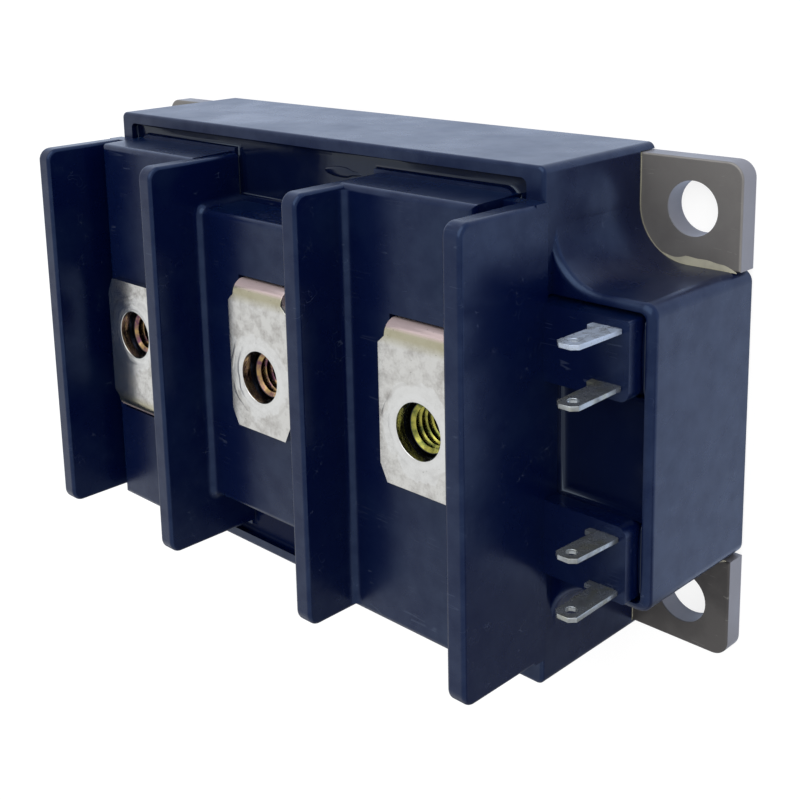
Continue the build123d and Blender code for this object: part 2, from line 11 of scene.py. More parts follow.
import bpy
from mathutils import Euler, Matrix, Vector


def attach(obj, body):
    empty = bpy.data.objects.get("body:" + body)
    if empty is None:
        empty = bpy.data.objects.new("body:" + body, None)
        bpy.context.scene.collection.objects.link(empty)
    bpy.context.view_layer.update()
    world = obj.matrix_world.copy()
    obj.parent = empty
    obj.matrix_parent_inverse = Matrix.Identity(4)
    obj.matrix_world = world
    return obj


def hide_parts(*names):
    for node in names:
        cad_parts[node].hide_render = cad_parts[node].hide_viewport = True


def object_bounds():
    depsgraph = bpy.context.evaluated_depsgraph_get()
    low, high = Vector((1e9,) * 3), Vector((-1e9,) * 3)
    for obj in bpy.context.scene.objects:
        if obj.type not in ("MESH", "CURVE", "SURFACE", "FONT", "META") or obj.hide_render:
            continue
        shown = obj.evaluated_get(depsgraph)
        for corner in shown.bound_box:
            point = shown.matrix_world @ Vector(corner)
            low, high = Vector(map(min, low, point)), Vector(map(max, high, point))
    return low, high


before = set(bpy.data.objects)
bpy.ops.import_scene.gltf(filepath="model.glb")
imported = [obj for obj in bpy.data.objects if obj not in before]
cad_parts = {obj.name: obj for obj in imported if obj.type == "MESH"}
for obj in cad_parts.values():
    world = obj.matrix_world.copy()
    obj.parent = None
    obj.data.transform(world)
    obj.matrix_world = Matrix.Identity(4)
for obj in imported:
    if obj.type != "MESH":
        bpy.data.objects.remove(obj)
CAD_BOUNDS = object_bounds()

LOG = logging.getLogger("power_module")
MM = 0.001
WHITE = (1.0, 1.0, 1.0)
WELD_MM = 0.001
NEAR_MM = 0.01
UPWARDS = 0.9  # a face looks up where its normal's z is above this
NOISE = (0.35, 0.7)  # the range that most of a noise lies in
WIDE_NOISE = (0.3, 0.7)
CREASE_DEGREES = 35.0
SOFT_DEGREES = 60.0
Colour = tuple[float, float, float]
Point = tuple[float, float, float]
Place = tuple[float, float]
Span = tuple[float, float]
Piece = bpy.types.Object
Material = bpy.types.Material
Socket = bpy.types.NodeSocket


# Node graphs


class Graph:
    """A node tree that is filled in code."""

    def __init__(self, tree: bpy.types.NodeTree) -> None:
        """Takes the node tree of a material or a world."""
        self.tree = tree

    def add(self, kind: str, feeds: dict[Any, Any] | None = None, **settings: Any) -> bpy.types.Node:
        """Adds a node.

        Args:
            kind: The node's type.
            feeds: A socket to link, or a value to set, for each named input.
            settings: The node's own options.

        Returns:
            The new node.
        """
        node = self.tree.nodes.new(kind)
        for key, value in settings.items():
            setattr(node, key, value)
        self.feed(node, feeds or {})
        return node

    def feed(self, node: bpy.types.Node, feeds: dict[Any, Any]) -> None:
        """Links sockets and sets values on a node's inputs.

        Args:
            node: The node that receives them.
            feeds: A socket, a number, a triple or a colour for each input.
        """
        for key, value in feeds.items():
            entry = node.inputs[key]
            if isinstance(value, Socket):
                self.tree.links.new(value, entry)
            else:
                entry.default_value = (*value, 1.0) if entry.type == "RGBA" else value

    def ramp(self, value: Socket, start: float, end: float, low: float = 0.0, high: float = 1.0) -> Socket:
        """Carries a value's range from start to end over to one from low to high, and clamps it there."""
        feeds = {"Value": value, "From Min": start, "From Max": end, "To Min": low, "To Max": high}
        return self.add("ShaderNodeMapRange", feeds).outputs["Result"]

    def maths(self, operation: str, first: Any, second: Any = 0.0) -> Socket:
        """The result of a maths node's operation on one or two values or sockets."""
        return self.add("ShaderNodeMath", {0: first, 1: second}, operation=operation).outputs[0]

    def blend(self, share: Socket, first: Any, second: Any, weight: float = 1.0) -> Socket:
        """Mixes two colours.

        Args:
            share: How much of the second.
            first: A colour or a socket.
            second: A colour or a socket.
            weight: What the share is multiplied by.

        Returns:
            The mixed colour.
        """
        if weight != 1.0:
            share = self.maths("MULTIPLY", share, weight)
        return self.add("ShaderNodeMix", {0: share, 6: first, 7: second}, data_type="RGBA").outputs[2]

    def seen_directly(self) -> Socket:
        """1 for camera, glossy and transmitted rays, and 0 for the rays that light the module.

        Returns:
            The value's socket.
        """
        rays = self.add("ShaderNodeLightPath").outputs
        seen = self.maths("MAXIMUM", rays["Is Camera Ray"], rays["Is Glossy Ray"])
        return self.maths("MAXIMUM", seen, rays["Is Transmission Ray"])


class Recipe(Graph):
    """The node graph of one finish, ending in a Principled shader."""

    BAND_CORE = 0.35
    DOT_CORE = 0.5
    PATCH_PER_DOT = 9.0
    DOT_PATCH_BLUR = 0.04
    SCRATCH_STRETCH = 0.12
    SCRATCH_WAVE_MM = 0.9
    SCRATCH_HALF_WIDTH = 0.012
    PATCH_PER_SCRATCH = 0.8
    SCRATCH_PATCH_BLUR = 0.03

    def __init__(self, name: str) -> None:
        """Starts an empty finish.

        Args:
            name: The material's name.
        """
        self.material = bpy.data.materials.new(name)
        self.material.use_nodes = True
        super().__init__(self.material.node_tree)
        self.shader = self.tree.nodes["Principled BSDF"]
        self.place = self.add("ShaderNodeTexCoord").outputs["Object"]

    def mapped(self, stretch: Point, turn: Point = (0.0, 0.0, 0.0)) -> Socket:
        """The object's coordinates, stretched along each axis and turned about it, in radians."""
        feeds = {"Vector": self.place, "Rotation": turn, "Scale": stretch}
        return self.add("ShaderNodeMapping", feeds).outputs["Vector"]

    def axis(self, name: str) -> Socket:
        """The object's coordinate along X, Y or Z, in millimetres."""
        split = self.add("ShaderNodeSeparateXYZ", {"Vector": self.place})
        return self.maths("DIVIDE", split.outputs[name], MM)

    def from_hole(self, pitch_mm: float) -> Socket:
        """The distance from the nearest terminal hole's axis, in millimetres.

        Args:
            pitch_mm: The distance between the holes along the module.

        Returns:
            The distance's socket.
        """
        half = pitch_mm / 2.0
        wrapped = self.add("ShaderNodeMath", {0: self.axis("X"), 1: half, 2: -half}, operation="WRAP")
        squares = [self.maths("MULTIPLY", side, side) for side in (wrapped.outputs[0], self.axis("Y"))]
        return self.maths("SQRT", self.maths("ADD", *squares))

    def noise(self, size_mm: float, detail: float = 3.0, place: Socket | None = None,
              rough: float = 0.55) -> Socket:
        """Cloudy noise around 0.5, by its patches' size, its number of finer layers and their strength."""
        feeds = {"Vector": place or self.place, "Scale": 1.0 / (size_mm * MM), "Detail": detail,
                 "Roughness": rough}
        return self.add("ShaderNodeTexNoise", feeds).outputs["Fac"]

    def band(self, value: Socket, centre: float, half_width: float) -> Socket:
        """1 where a value is near the centre, falling to 0 within the half width on both sides."""
        off = self.maths("ABSOLUTE", self.maths("SUBTRACT", value, centre))
        return self.ramp(off, half_width, half_width * self.BAND_CORE)

    def specks(self, spacing_mm: float, size: float, share: float) -> Socket:
        """Scattered dots.

        Args:
            spacing_mm: The distance between the places where a dot may be.
            size: A dot's radius as a part of the spacing.
            share: The part of the surface's patches that has dots.

        Returns:
            1 on a dot and 0 elsewhere.
        """
        cells = self.add("ShaderNodeTexVoronoi", {"Vector": self.place, "Scale": 1.0 / (spacing_mm * MM)})
        dots = self.ramp(cells.outputs["Distance"], size, size * self.DOT_CORE)
        clouds = self.noise(spacing_mm * self.PATCH_PER_DOT, detail=4.0)
        return self.maths("MULTIPLY", dots, self.ramp(clouds, 1.0 - share, 1.0 - share + self.DOT_PATCH_BLUR))

    def hairlines(self, length_mm: float, turn: Point, share: float) -> Socket:
        """Short, thin scratches in one main direction.

        Args:
            length_mm: About how long they are.
            turn: Their direction, as a turn about each axis.
            share: The part of the surface's patches that has them.

        Returns:
            1 on a scratch and 0 elsewhere.
        """
        place = self.mapped((self.SCRATCH_STRETCH / length_mm, 1.0, 1.0), turn)
        waves = self.noise(self.SCRATCH_WAVE_MM, detail=0.0, place=place)
        lines = self.band(waves, centre=0.5, half_width=self.SCRATCH_HALF_WIDTH)
        clouds = self.noise(length_mm * self.PATCH_PER_SCRATCH, detail=2.0)
        patches = self.ramp(clouds, 1.0 - share, 1.0 - share + self.SCRATCH_PATCH_BLUR)
        return self.maths("MULTIPLY", lines, patches)

    def bump(self, height: Socket, depth_mm: float, strength: float, under: Socket | None = None) -> Socket:
        """Turns a height into a bent normal.

        Args:
            height: The height, from 0 to 1.
            depth_mm: How far it rises.
            strength: The share of it that shows.
            under: A normal that it is laid over.

        Returns:
            The bent normal.
        """
        feeds = {"Height": height, "Strength": strength, "Distance": depth_mm * MM}
        if under is not None:
            feeds["Normal"] = under
        return self.add("ShaderNodeBump", feeds).outputs["Normal"]

    def finish(self, colour: Socket, shine: Socket, normal: Socket, more: dict[str, Any]) -> Material:
        """Feeds the shader its colour, roughness, normal and more, and gives back the material."""
        self.feed(self.shader, {"Base Color": colour, "Roughness": shine, "Normal": normal, **more})
        return self.material


# Finishes


class Finish(ABC):
    """A finish that makes its material at its first use and keeps it."""

    name: str
    made: dict[str, Material] = {}

    @abstractmethod
    def make(self) -> Material:
        """Builds the material.

        Returns:
            The new material.
        """

    @property
    def material(self) -> Material:
        """The finish's material."""
        if self.name not in Finish.made:
            Finish.made[self.name] = self.make()
        return Finish.made[self.name]


@dataclass(frozen=True)
class MouldedPlastic(Finish):
    """Dark blue moulded plastic with a fine grain, soft handling marks, dust and a few hairlines."""

    name: str = "moulded_plastic"
    colour: Colour = (0.0002, 0.0018, 0.0190)
    smudge: Colour = (0.0014, 0.0042, 0.0220)
    dust: Colour = (0.12, 0.15, 0.22)
    shine_tint: Colour = (0.42, 0.62, 1.0)
    bloom_tint: Colour = (0.05, 0.38, 1.0)
    shine_level: float = 0.47
    shine_swing: Span = (0.78, 1.18)
    ior: float = 1.5
    bloom: float = 0.025
    bloom_roughness: float = 0.35
    roughness: Span = (0.23, 0.33)
    dust_roughness: float = 0.4
    cloud_mm: float = 9.0
    sink_mm: float = 8.0
    patch_mm: float = 2.6
    grain_mm: float = 0.25

    def make(self) -> Material:
        """Builds the material.

        Returns:
            The new material.
        """
        r = Recipe(self.name)
        clouds = r.noise(self.cloud_mm, detail=5.0)
        dots = r.specks(spacing_mm=1.3, size=0.040, share=0.42)
        marks = r.maths("MAXIMUM", r.hairlines(length_mm=5.0, turn=(0.3, 0.2, 0.5), share=0.40),
                        r.hairlines(length_mm=3.0, turn=(0.1, 0.9, -0.7), share=0.38))
        tint = r.blend(r.ramp(clouds, start=0.50, end=0.72), self.colour, self.smudge)
        tint = r.blend(marks, tint, self.dust, weight=0.12)
        tint = r.blend(dots, tint, self.dust, weight=0.7)
        shine = r.ramp(clouds, *WIDE_NOISE, *self.roughness)
        shine = r.maths("ADD", shine, r.maths("MULTIPLY", dots, self.dust_roughness))
        grain = r.bump(r.noise(self.grain_mm, detail=2.0), depth_mm=0.004, strength=0.4)
        sink = r.bump(r.noise(self.sink_mm, detail=3.0), depth_mm=0.06, strength=0.35, under=grain)
        low, high = (self.shine_level * swing for swing in self.shine_swing)
        patches = r.noise(self.patch_mm, detail=6.0, rough=0.6)
        level = r.ramp(patches, start=0.34, end=0.66, low=low, high=high)
        return r.finish(tint, shine, sink, {
            "IOR": self.ior, "Specular IOR Level": level, "Specular Tint": self.shine_tint,
            "Sheen Weight": self.bloom, "Sheen Tint": self.bloom_tint,
            "Sheen Roughness": self.bloom_roughness})


@dataclass(frozen=True)
class NickelPlate(Finish):
    """Satin nickel on a copper plate: stained in patches and darker towards -Y on top, with sides painted
    lighter and bluer as a painted reflection.
    """

    name: str = "nickel_plate"
    top: Colour = (0.165, 0.158, 0.152)
    stain: Colour = (0.042, 0.039, 0.039)
    edge: Colour = (0.185, 0.180, 0.195)
    worn: Colour = (0.55, 0.53, 0.50)
    metal: float = 0.45
    shine: Span = (0.36, 0.50)
    edge_height_mm: float = 2.86
    edge_blur_mm: float = 0.08
    dark_side_mm: float = -12.0
    dark_blur_mm: float = 6.0
    roll_stretch: Point = (1.0, 0.04, 1.0)

    def make(self) -> Material:
        """Builds the material.

        Returns:
            The new material.
        """
        r = Recipe(self.name)
        rolled = r.noise(size_mm=0.5, detail=2.0, place=r.mapped(self.roll_stretch))
        clouds = r.noise(size_mm=7.0, detail=5.0)
        # the top grows darker towards -Y, from Y -6 mm to -12 mm, besides the stained patches
        dark = r.ramp(r.axis("Y"), self.dark_side_mm + self.dark_blur_mm, self.dark_side_mm, high=0.85)
        dark = r.maths("ADD", dark, r.ramp(clouds, start=0.45, end=0.75, high=0.35))
        colour = r.blend(r.ramp(dark, 0.0, 1.0), self.top, self.stain)
        marks = r.hairlines(length_mm=2.0, turn=(0.0, 0.0, 1.2), share=0.42)
        colour = r.blend(marks, colour, self.worn, weight=0.14)
        # painted reflection: the sides, below 2.86 mm, get the lighter, bluer edge colour
        side = r.ramp(r.axis("Z"), self.edge_height_mm, self.edge_height_mm - self.edge_blur_mm)
        colour = r.blend(side, colour, self.edge)
        normal = r.bump(rolled, depth_mm=0.006, strength=0.5)
        normal = r.bump(r.noise(size_mm=3.0, detail=2.0), depth_mm=0.02, strength=0.3, under=normal)
        return r.finish(colour, r.ramp(clouds, *NOISE, *self.shine), normal, {"Metallic": self.metal})


@dataclass(frozen=True)
class TinStrip(Finish):
    """Bright tin on copper strip, with a pressed ring round each hole and tarnish on the bend."""

    name: str = "tin_plate"
    colour: Colour = (0.60, 0.60, 0.585)
    stain: Colour = (0.40, 0.39, 0.375)
    worn: Colour = (0.68, 0.69, 0.69)
    olive: Colour = (0.36, 0.335, 0.21)
    rose: Colour = (0.52, 0.41, 0.42)
    pit: Colour = (0.10, 0.10, 0.09)
    shine: Span = (0.13, 0.24)
    rolled_metal: float = 0.45
    pitch_mm: float = 28.0
    ring_mm: float = 4.15
    arc_mm: float = 5.6
    wobble_mm: float = 0.25
    ragged_mm: float = 1.2
    wear_mm: Span = (5.9, 5.5)
    bend_mm: Span = (9.3, 10.6)
    roll_level_mm: Span = (29.25, 29.0)

    def make(self) -> Material:
        """Builds the material.

        Returns:
            The new material.
        """
        r = Recipe(self.name)
        reach = r.from_hole(self.pitch_mm)
        wobble = r.ramp(r.noise(size_mm=4.0, detail=2.0), *WIDE_NOISE, -self.wobble_mm, self.wobble_mm)
        reach = r.maths("ADD", reach, wobble)
        ring = r.band(reach, self.ring_mm, half_width=0.45)
        arcs = r.ramp(r.noise(size_mm=6.0, detail=1.0), start=0.48, end=0.55)
        arcs = r.maths("MULTIPLY", r.band(reach, self.arc_mm, half_width=0.30), arcs)
        ragged = r.ramp(r.noise(size_mm=3.0, detail=4.0), *WIDE_NOISE, -self.ragged_mm, self.ragged_mm)
        ragged = r.maths("ADD", reach, ragged)
        clouds = r.noise(size_mm=1.7, detail=6.0, rough=0.7)
        colour = r.blend(r.ramp(clouds, start=0.44, end=0.68), self.colour, self.stain)
        colour = r.blend(r.ramp(ragged, *self.wear_mm), colour, self.worn, weight=0.6)
        colour = r.blend(ring, colour, self.worn, weight=0.5)
        colour = r.blend(arcs, colour, self.stain, weight=0.25)
        bend = r.ramp(r.maths("ABSOLUTE", r.axis("Y")), *self.bend_mm)
        colour = r.blend(bend, colour, self.olive, weight=0.8)
        roll = r.maths("MULTIPLY", bend, r.ramp(r.axis("Z"), *self.roll_level_mm))
        colour = r.blend(roll, colour, self.rose, weight=0.9)
        colour = r.blend(r.specks(spacing_mm=0.8, size=0.09, share=0.50), colour, self.pit)
        normal = r.bump(r.noise(size_mm=0.35, detail=3.0), depth_mm=0.004, strength=0.5)
        normal = r.bump(ring, depth_mm=0.02, strength=0.6, under=normal)
        normal = r.bump(arcs, depth_mm=0.02, strength=0.5, under=normal)
        metal = r.ramp(roll, 0.0, 1.0, 1.0, self.rolled_metal)
        return r.finish(colour, r.ramp(clouds, *NOISE, *self.shine), normal, {"Metallic": metal})


@dataclass(frozen=True)
class BladeMetal(Finish):
    """Bright blade metal with lines along its length and blotches of wear; the rear blade has painted light,
    a lighter, bluer tone, and less metal.
    """

    name: str = "silver_plate"
    colour: Colour = (0.34, 0.37, 0.40)
    worn: Colour = (0.19, 0.20, 0.20)
    warm: Colour = (0.30, 0.30, 0.21)
    painted_light_tone: Colour = (0.33, 0.39, 0.50)
    shine: Span = (0.20, 0.38)
    metal: Span = (0.85, 0.35)
    painted_light_mm: Span = (11.0, 12.0)
    line_stretch: Point = (1.0, 1.0, 0.06)

    def make(self) -> Material:
        """Builds the material.

        Returns:
            The new material.
        """
        r = Recipe(self.name)
        lines = r.noise(size_mm=0.25, detail=2.0, place=r.mapped(self.line_stretch))
        clouds = r.noise(size_mm=1.6, detail=5.0)
        colour = r.blend(r.ramp(clouds, start=0.42, end=0.68), self.colour, self.worn)
        blotches = r.ramp(r.noise(size_mm=2.4, detail=3.0), start=0.5, end=0.66, high=0.7)
        colour = r.blend(blotches, colour, self.warm)
        # painted light: past Y 11 to 12 mm, on the lamp side, the rear blade turns lighter, bluer and less
        # metallic
        painted_light_share = r.ramp(r.axis("Y"), *self.painted_light_mm)
        painted_light_share = r.maths("MULTIPLY", painted_light_share, r.ramp(clouds, start=0.35, end=0.55, low=0.45))
        painted_light_share = r.maths("MULTIPLY", painted_light_share, r.ramp(lines, start=0.40, end=0.58, low=0.65))
        colour = r.blend(painted_light_share, colour, self.painted_light_tone)
        normal = r.bump(lines, depth_mm=0.004, strength=0.6)
        normal = r.bump(clouds, depth_mm=0.02, strength=0.3, under=normal)
        metal = r.ramp(painted_light_share, 0.0, 1.0, *self.metal)
        return r.finish(colour, r.ramp(clouds, *NOISE, *self.shine), normal, {"Metallic": metal})


class Passivation(Enum):
    """The two tones of the nuts' chromate: main colour, sheen colour."""

    YELLOW_GREEN = ((0.34, 0.32, 0.07), (0.08, 0.10, 0.03))
    COPPERY = ((0.34, 0.23, 0.10), (0.13, 0.06, 0.09))


@dataclass(frozen=True)
class ChromateSteel(Finish):
    """Chromated steel whose thin film shifts in colour from patch to patch, with painted shade beyond the
    bore, on its mouth and faces.
    """

    name: str
    passivation: Passivation
    mouth: Colour = (0.012, 0.014, 0.022)
    shine: Span = (0.16, 0.30)
    pitch_mm: float = 28.0
    shade_from_mm: Span = (2.95, 3.03)

    def make(self) -> Material:
        """Builds the material.

        Returns:
            The new material.
        """
        r = Recipe(self.name)
        main_tone, sheen = self.passivation.value
        film = r.ramp(r.noise(size_mm=1.3, detail=4.0), start=0.40, end=0.62)
        colour = r.blend(film, main_tone, sheen)
        # painted shade: everything more than 3.03 mm from the hole's axis, the mouth included, is dark
        colour = r.blend(r.ramp(r.from_hole(self.pitch_mm), *self.shade_from_mm), colour, self.mouth)
        normal = r.bump(r.noise(size_mm=0.2, detail=2.0), depth_mm=0.004, strength=0.5)
        shine = r.ramp(r.noise(size_mm=0.8, detail=3.0), *NOISE, *self.shine)
        return r.finish(colour, shine, normal, {"Metallic": 1.0})


@dataclass(frozen=True)
class PouredFill(Finish):
    """A poured resin, gel or glue with slow waves, streaks and a few trapped bubbles."""

    name: str
    colour: Colour
    streak: Colour
    roughness: float
    ior: float = 1.5
    shine_tint: Colour = WHITE
    shine_level: float = 0.5
    roughness_swing: float = 0.10

    def make(self) -> Material:
        """Builds the material.

        Returns:
            The new material.
        """
        r = Recipe(self.name)
        streaks = r.ramp(r.noise(size_mm=5.0, detail=4.0), start=0.45, end=0.75)
        colour = r.blend(streaks, self.colour, self.streak)
        dullest = self.roughness + self.roughness_swing
        shine = r.ramp(r.noise(size_mm=3.0, detail=3.0), *NOISE, self.roughness, dullest)
        normal = r.bump(r.noise(size_mm=4.5, detail=2.0), depth_mm=0.05, strength=0.5)
        bubbles = r.specks(spacing_mm=2.2, size=0.10, share=0.42)
        normal = r.bump(bubbles, depth_mm=0.03, strength=0.6, under=normal)
        return r.finish(colour, shine, normal, {
            "IOR": self.ior, "Specular IOR Level": self.shine_level, "Specular Tint": self.shine_tint})


@dataclass(frozen=True)
class PlainSolid(Finish):
    """A fired, cast or drawn material of the hidden inside, with its own fine texture."""

    name: str
    colour: Colour
    shade: Colour
    roughness: float
    grain_mm: float
    metallic: float = 1.0
    cloud_per_grain: float = 12.0
    roughness_swing: Span = (-0.05, 0.08)

    def make(self) -> Material:
        """Builds the material.

        Returns:
            The new material.
        """
        r = Recipe(self.name)
        clouds = r.noise(self.grain_mm * self.cloud_per_grain, detail=4.0)
        colour = r.blend(r.ramp(clouds, start=0.4, end=0.7), self.colour, self.shade)
        low, high = (self.roughness + swing for swing in self.roughness_swing)
        shine = r.ramp(clouds, *WIDE_NOISE, low, high)
        normal = r.bump(r.noise(self.grain_mm, detail=2.0), depth_mm=0.01, strength=0.4)
        return r.finish(colour, shine, normal, {"Metallic": self.metallic})


PLASTIC = MouldedPlastic()
NICKEL = NickelPlate()
TIN = TinStrip()
BLADE = BladeMetal()
GREEN_CHROMATE = ChromateSteel("chromate_green", Passivation.YELLOW_GREEN)
COPPERY_CHROMATE = ChromateSteel("chromate_coppery", Passivation.COPPERY)
RESIN = PouredFill("potting_resin", (0.0006, 0.0022, 0.0150), (0.0014, 0.0034, 0.0170), roughness=0.10,
                   shine_tint=(0.70, 0.85, 1.0), shine_level=0.36)
# painted light: the same resin with a brighter base, to lift its shade in the -Y groove; it is also rougher
# and has a low IOR
DULL_RESIN_PAINTED_LIGHT = PouredFill("dull_resin_painted_light", (0.0012, 0.0042, 0.0260), (0.0020, 0.0056, 0.0280), roughness=0.22,
                        ior=1.16, shine_tint=(0.70, 0.85, 1.0), shine_level=0.4)
GEL = PouredFill("silicone_gel", (0.45, 0.46, 0.48), (0.55, 0.56, 0.57), roughness=0.1, ior=1.41)
GLUE = PouredFill("adhesive", (0.17, 0.165, 0.115), (0.11, 0.105, 0.08), roughness=0.42)
GLUE_FILM = PouredFill("adhesive_film", (0.36, 0.345, 0.27), (0.14, 0.135, 0.12), roughness=0.40)
COPPER = PlainSolid("bare_copper", (0.70, 0.33, 0.20), (0.52, 0.22, 0.14), roughness=0.32, grain_mm=0.1)
SOLDER = PlainSolid("solder", (0.50, 0.51, 0.53), (0.40, 0.41, 0.43), roughness=0.35, grain_mm=0.15)
CERAMIC = PlainSolid("ceramic_sheet", (0.80, 0.80, 0.77), (0.72, 0.72, 0.70), roughness=0.5, grain_mm=0.08,
                     metallic=0.0)
CHIP = PlainSolid("chip_top", (0.45, 0.47, 0.52), (0.38, 0.40, 0.46), roughness=0.2, grain_mm=0.05)
WIRE = PlainSolid("drawn_wire", (0.76, 0.76, 0.77), (0.66, 0.66, 0.67), roughness=0.28, grain_mm=0.05)


class CarriedOver:
    """The CAD nodes that show as they are, each with its finish."""

    FINISHES: dict[str, Finish] = {
        "base_plate": NICKEL, "case_frame": PLASTIC, "terminal_block": PLASTIC, "adhesive_bead": GLUE,
        "potting_resin": RESIN, "silicone_gel": GEL, "power_terminal": TIN, "nut": COPPERY_CHROMATE,
        "signal_tab": BLADE, "signal_lead": WIRE, "plate_solder": SOLDER, "back_copper": COPPER,
        "copper_tracks": COPPER, "substrate": CERAMIC, "igbt_chip": CHIP, "diode_chip": CHIP,
        "bond_wires": WIRE,
    }

    def dress(self) -> None:
        """Gives every node the finish that its name begins with."""
        for name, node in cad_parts.items():
            finish = next(value for key, value in self.FINISHES.items() if name.startswith(key))
            for place in node.material_slots:
                place.material = finish.material


# Modelling helpers


def metres(*lengths: float) -> tuple[float, ...]:
    """Turns millimetres into metres."""
    return tuple(length * MM for length in lengths)


def pick_alone(piece: Piece) -> None:
    """Selects one object and makes it the active one.

    Args:
        piece: The object.
    """
    bpy.ops.object.select_all(action="DESELECT")
    piece.select_set(True)
    bpy.context.view_layer.objects.active = piece


@contextmanager
def editing(piece: Piece, kind: str = "VERT", test: Callable[[Any], bool] | None = None) -> Iterator[None]:
    """Opens an object in edit mode with all or some of it selected, and closes it at the end.

    Args:
        piece: The object.
        kind: What is selected, VERT or FACE.
        test: Says whether a vertex or face is wanted. Without it, all are.

    Yields:
        Nothing, while the object is in edit mode.
    """
    pick_alone(piece)
    bpy.ops.object.mode_set(mode="EDIT")
    bpy.ops.mesh.select_mode(type=kind)
    bpy.ops.mesh.select_all(action="DESELECT" if test else "SELECT")
    if test:
        bpy.ops.object.mode_set(mode="OBJECT")
        for part in piece.data.polygons if kind == "FACE" else piece.data.vertices:
            part.select = test(part)
        bpy.ops.object.mode_set(mode="EDIT")
    yield
    bpy.ops.object.mode_set(mode="OBJECT")


def started(name: str, primitive: Callable[..., Any], **settings: Any) -> Piece:
    """Adds a primitive to shape, with its place in its mesh.

    Args:
        name: The object's name.
        primitive: The operator that adds it.
        settings: The operator's own options.

    Returns:
        The new object, at the frame's origin.
    """
    bpy.ops.object.select_all(action="DESELECT")
    primitive(**settings)
    piece = bpy.context.active_object
    piece.name = name
    bpy.ops.object.transform_apply(location=True, rotation=True, scale=True)
    return piece


def settle(piece: Piece, smooth_degrees: float = CREASE_DEGREES) -> None:
    """Turns normals outwards and shades the piece.

    Args:
        piece: The object.
        smooth_degrees: Edges flatter than this are shaded smooth.
    """
    with editing(piece):
        bpy.ops.mesh.normals_make_consistent(inside=False)
    bpy.ops.object.shade_smooth_by_angle(angle=radians(smooth_degrees))


def apply_modifier(piece: Piece, kind: str, **settings: Any) -> None:
    """Adds a modifier with its settings and applies it.

    Args:
        piece: The object.
        kind: The modifier's type.
        settings: The modifier's own options.
    """
    pick_alone(piece)
    modifier = piece.modifiers.new(kind.lower(), kind)
    for key, value in settings.items():
        setattr(modifier, key, value)
    bpy.ops.object.modifier_apply(modifier=modifier.name)


def traced_plate(name: str, outline: list[Place], low: float, high: float) -> Piece:
    """Draws an outline point by point, fills it and gives it a thickness.

    Args:
        name: The object's name.
        outline: The corners in order, in millimetres.
        low: The level of its underside, in millimetres.
        high: The level of its top, in millimetres.

    Returns:
        The closed plate.
    """
    piece = started(name, bpy.ops.mesh.primitive_plane_add, size=MM, location=metres(*outline[0], low))
    with editing(piece):
        bpy.ops.mesh.merge(type="CENTER")
        for here, there in zip(outline, outline[1:]):
            step = metres(there[0] - here[0], there[1] - here[1], 0.0)
            bpy.ops.mesh.extrude_vertices_move(TRANSFORM_OT_translate={"value": step})
        bpy.ops.mesh.select_all(action="SELECT")
        bpy.ops.mesh.edge_face_add()
        bpy.ops.mesh.extrude_region_move(TRANSFORM_OT_translate={"value": metres(0.0, 0.0, high - low)})
        bpy.ops.mesh.select_all(action="SELECT")
        bpy.ops.mesh.normals_make_consistent(inside=False)
    return piece


def hollow_cove(piece: Piece, high: float, radius: float, steps: int) -> None:
    """Sinks the top face in steps, so that a hollow rounding climbs the walls round it.

    Args:
        piece: The object.
        high: The level of its top, in millimetres.
        radius: The rounding's radius, in millimetres.
        steps: How many facets it has.
    """
    angles = [index * pi / (2 * steps) for index in range(steps + 1)]
    level = (high - NEAR_MM) * MM
    with editing(piece, "FACE", lambda face: face.normal.z > UPWARDS and face.center.z > level):
        for here, there in zip(angles, angles[1:]):
            inwards = radius * (cos(here) - cos(there)) * MM
            down = radius * (sin(there) - sin(here)) * MM
            bpy.ops.mesh.inset(thickness=inwards, depth=-down, use_even_offset=True)


def hand_over(piece: Piece, finish: Finish) -> None:
    """Gives a piece its finish and slot and lets it ride on the root body.

    Args:
        piece: The object.
        finish: Its finish.
    """
    piece.data.materials.clear()
    piece.data.materials.append(finish.material)
    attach(piece, "root")


# Pieces


class SubAssembly(ABC):
    """A part of the module that is modelled here."""

    @abstractmethod
    def build(self) -> None:
        """Models every piece of the sub-assembly."""


@dataclass(frozen=True)
class SoftenedNode:
    """A copy of a CAD node with its sharp edges rounded off."""

    node: str
    finish: Finish
    slot: str
    edge_mm: float
    segments: int = 3
    flat_degrees: float = 0.5
    normal_weight: int = 80

    def copy(self) -> Piece:
        """Copies the node's mesh, cleans it and rounds its edges.

        Returns:
            The new object, at the frame's origin.
        """
        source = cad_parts[self.node]
        piece = bpy.data.objects.new(self.node + "_softened", source.data.copy())
        bpy.context.scene.collection.objects.link(piece)
        piece.matrix_world = source.matrix_world.copy()
        pick_alone(piece)
        bpy.ops.object.transform_apply(location=True, rotation=True, scale=True)
        with editing(piece):
            bpy.ops.mesh.remove_doubles(threshold=WELD_MM * MM)
            bpy.ops.mesh.dissolve_limited(angle_limit=radians(self.flat_degrees))
        apply_modifier(piece, "BEVEL", width=self.edge_mm * MM, segments=self.segments, limit_method="ANGLE",
                       angle_limit=radians(CREASE_DEGREES))
        return piece

    def place(self, piece: Piece) -> None:
        """Finishes the copy and lets it take the node's place.

        Args:
            piece: The copy.
        """
        settle(piece)
        apply_modifier(piece, "WEIGHTED_NORMAL", keep_sharp=True, weight=self.normal_weight)
        hand_over(piece, self.finish)
        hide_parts(self.node)
        LOG.info("%s: edges rounded by %.2f mm", self.node, self.edge_mm)


@dataclass(frozen=True)
class PowerTerminals(SubAssembly):
    """The three bent strips, with the soft edges that stamping and plating leave."""

    names: tuple[str, ...] = ("left", "middle", "right")
    edge_mm: float = 0.12

    def build(self) -> None:
        """Models the strips."""
        for name in self.names:
            strip = SoftenedNode("power_terminal_" + name, TIN, "tinned_terminal", self.edge_mm)
            strip.place(strip.copy())


